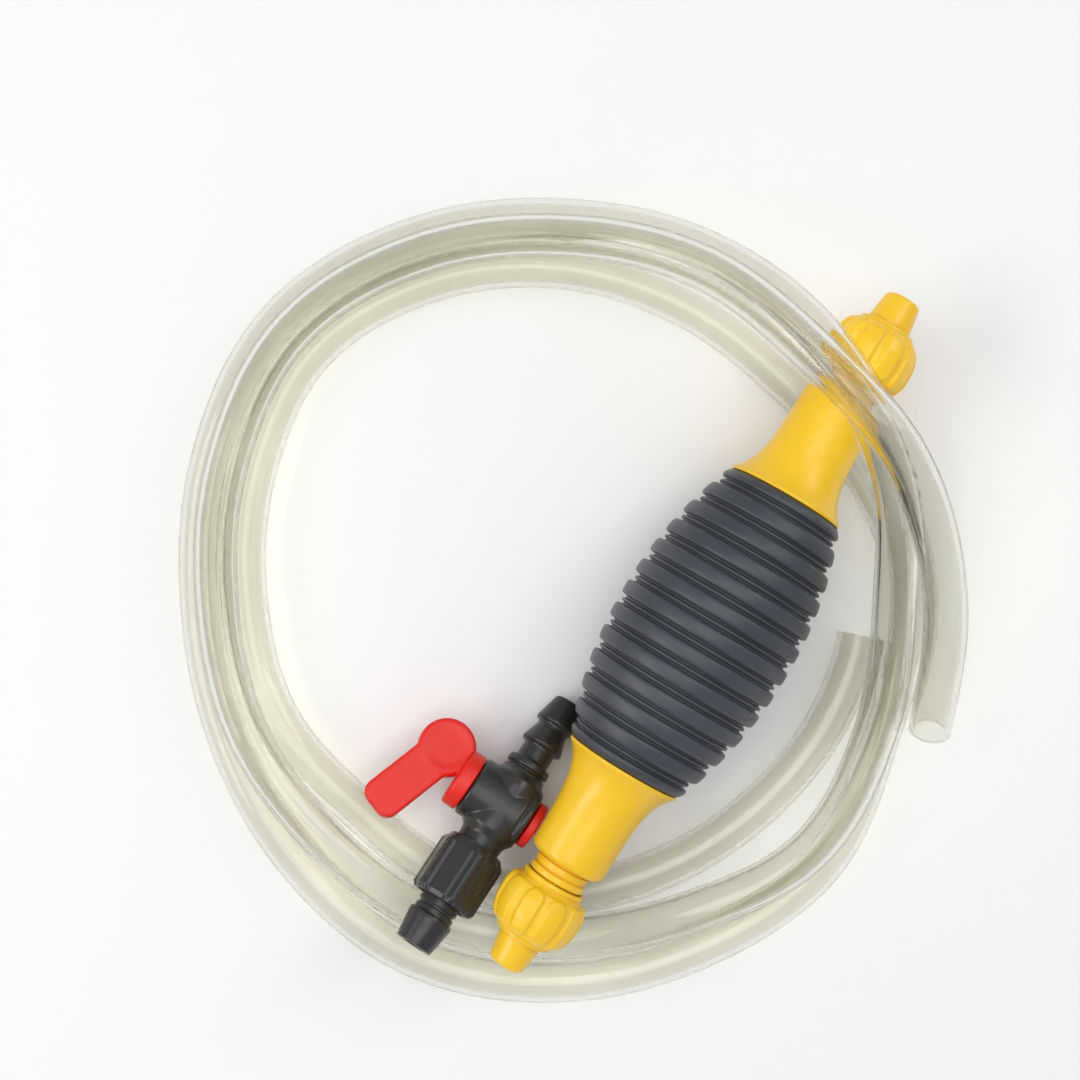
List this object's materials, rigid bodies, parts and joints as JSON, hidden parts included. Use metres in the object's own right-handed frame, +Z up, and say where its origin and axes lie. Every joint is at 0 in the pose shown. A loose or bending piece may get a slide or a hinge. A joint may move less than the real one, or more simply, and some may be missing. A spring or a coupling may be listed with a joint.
{
  "type": "auto siphon",
  "caption": "Hand siphon kit: a ribbed squeeze bulb with a check valve in each end fitting, an in-line tap with a red lever, and a loose coil of clear hose.",
  "frame": {"origin": "on the ground, under the middle of the pump and tap without the hose", "axes": "+X along the pump's flow axis towards its inlet end, +Y across to the tap's side, +Z up"},
  "size_m": [0.232, 0.2287, 0.0619],
  "materials": {
    "bulb_rubber": "soft satin slate-grey rubber",
    "yellow_plastic": "moulded glossy yellow plastic",
    "black_plastic": "moulded glossy black plastic",
    "red_plastic": "moulded glossy red plastic",
    "white_plastic": "plain natural white plastic",
    "seal_rubber": "plain black seal rubber",
    "clear_hose": "clear flexible hose with a faint olive tint"
  },
  "bodies": {
    "pump": {"bulb": "bulb_rubber", "inlet_housing": "yellow_plastic", "inlet_valve_seat": "white_plastic", "inlet_valve_guard": "white_plastic", "outlet_housing": "yellow_plastic", "outlet_valve_seat": "white_plastic", "outlet_valve_guard": "white_plastic", "hose": "clear_hose"},
    "inlet_disc": {"inlet_valve_disc": "seal_rubber"},
    "outlet_disc": {"outlet_valve_disc": "seal_rubber"},
    "inlet_tail": {"inlet_hose_tail": "yellow_plastic", "inlet_washer": "seal_rubber"},
    "inlet_ring": {"inlet_nut": "yellow_plastic"},
    "outlet_tail": {"outlet_hose_tail": "yellow_plastic", "outlet_washer": "seal_rubber"},
    "outlet_ring": {"outlet_nut": "yellow_plastic"},
    "tap": {"tap_body": "black_plastic"},
    "tap_lever": {"tap_handle": "red_plastic", "tap_spindle_cap": "red_plastic", "tap_outer_seal": "seal_rubber", "tap_inner_seal": "seal_rubber"},
    "tap_tail": {"tap_hose_tail": "black_plastic", "tap_washer": "seal_rubber"},
    "tap_ring": {"tap_nut": "black_plastic"}
  },
  "joints": [
    {"name": "inlet_valve_lift", "type": "slide", "parent": "pump", "child": "inlet_disc", "axis": [-1, 0, 0], "range_m": [0, 0.0022]},
    {"name": "outlet_valve_lift", "type": "slide", "parent": "pump", "child": "outlet_disc", "axis": [-1, 0, 0], "range_m": [0, 0.0022]},
    {"name": "inlet_tail_slide", "type": "slide", "parent": "pump", "child": "inlet_tail", "axis": [1, 0, 0], "range_m": [0, 0.0046]},
    {"name": "inlet_nut_turn", "type": "hinge", "parent": "inlet_tail", "child": "inlet_ring", "pos_m": [0.0913, -0.0162, 0.0251], "axis": [1, 0, 0], "range_deg": [0, 900]},
    {"name": "outlet_tail_slide", "type": "slide", "parent": "pump", "child": "outlet_tail", "axis": [-1, 0, 0], "range_m": [0, 0.0046]},
    {"name": "outlet_nut_turn", "type": "hinge", "parent": "outlet_tail", "child": "outlet_ring", "pos_m": [-0.0823, -0.0162, 0.0251], "axis": [-1, 0, 0], "range_deg": [0, 900]},
    {"name": "tap_lift", "type": "slide", "parent": "pump", "child": "tap", "axis": [0, 0.5, 0.866], "range_m": [0, 0.06]},
    {"name": "tap_handle_turn", "type": "hinge", "parent": "tap", "child": "tap_lever", "pos_m": [-0.0655, 0.0058, 0.015], "axis": [0.0523, 0.9986, 0], "range_deg": [0, 90]},
    {"name": "tap_tail_slide", "type": "slide", "parent": "tap", "child": "tap_tail", "axis": [-0.959, 0.0503, 0.279], "range_m": [0, 0.0046]},
    {"name": "tap_nut_turn", "type": "hinge", "parent": "tap_tail", "child": "tap_ring", "pos_m": [-0.0655, 0.0058, 0.015], "axis": [-0.959, 0.0503, 0.279], "range_deg": [0, 900]}
  ],
  "couplings": [
    {"joint": "inlet_tail_slide", "follows": "inlet_nut_turn", "m_per_rad": 0.00028648},
    {"joint": "outlet_tail_slide", "follows": "outlet_nut_turn", "m_per_rad": 0.00028648},
    {"joint": "tap_tail_slide", "follows": "tap_nut_turn", "m_per_rad": 0.00028648}
  ]
}
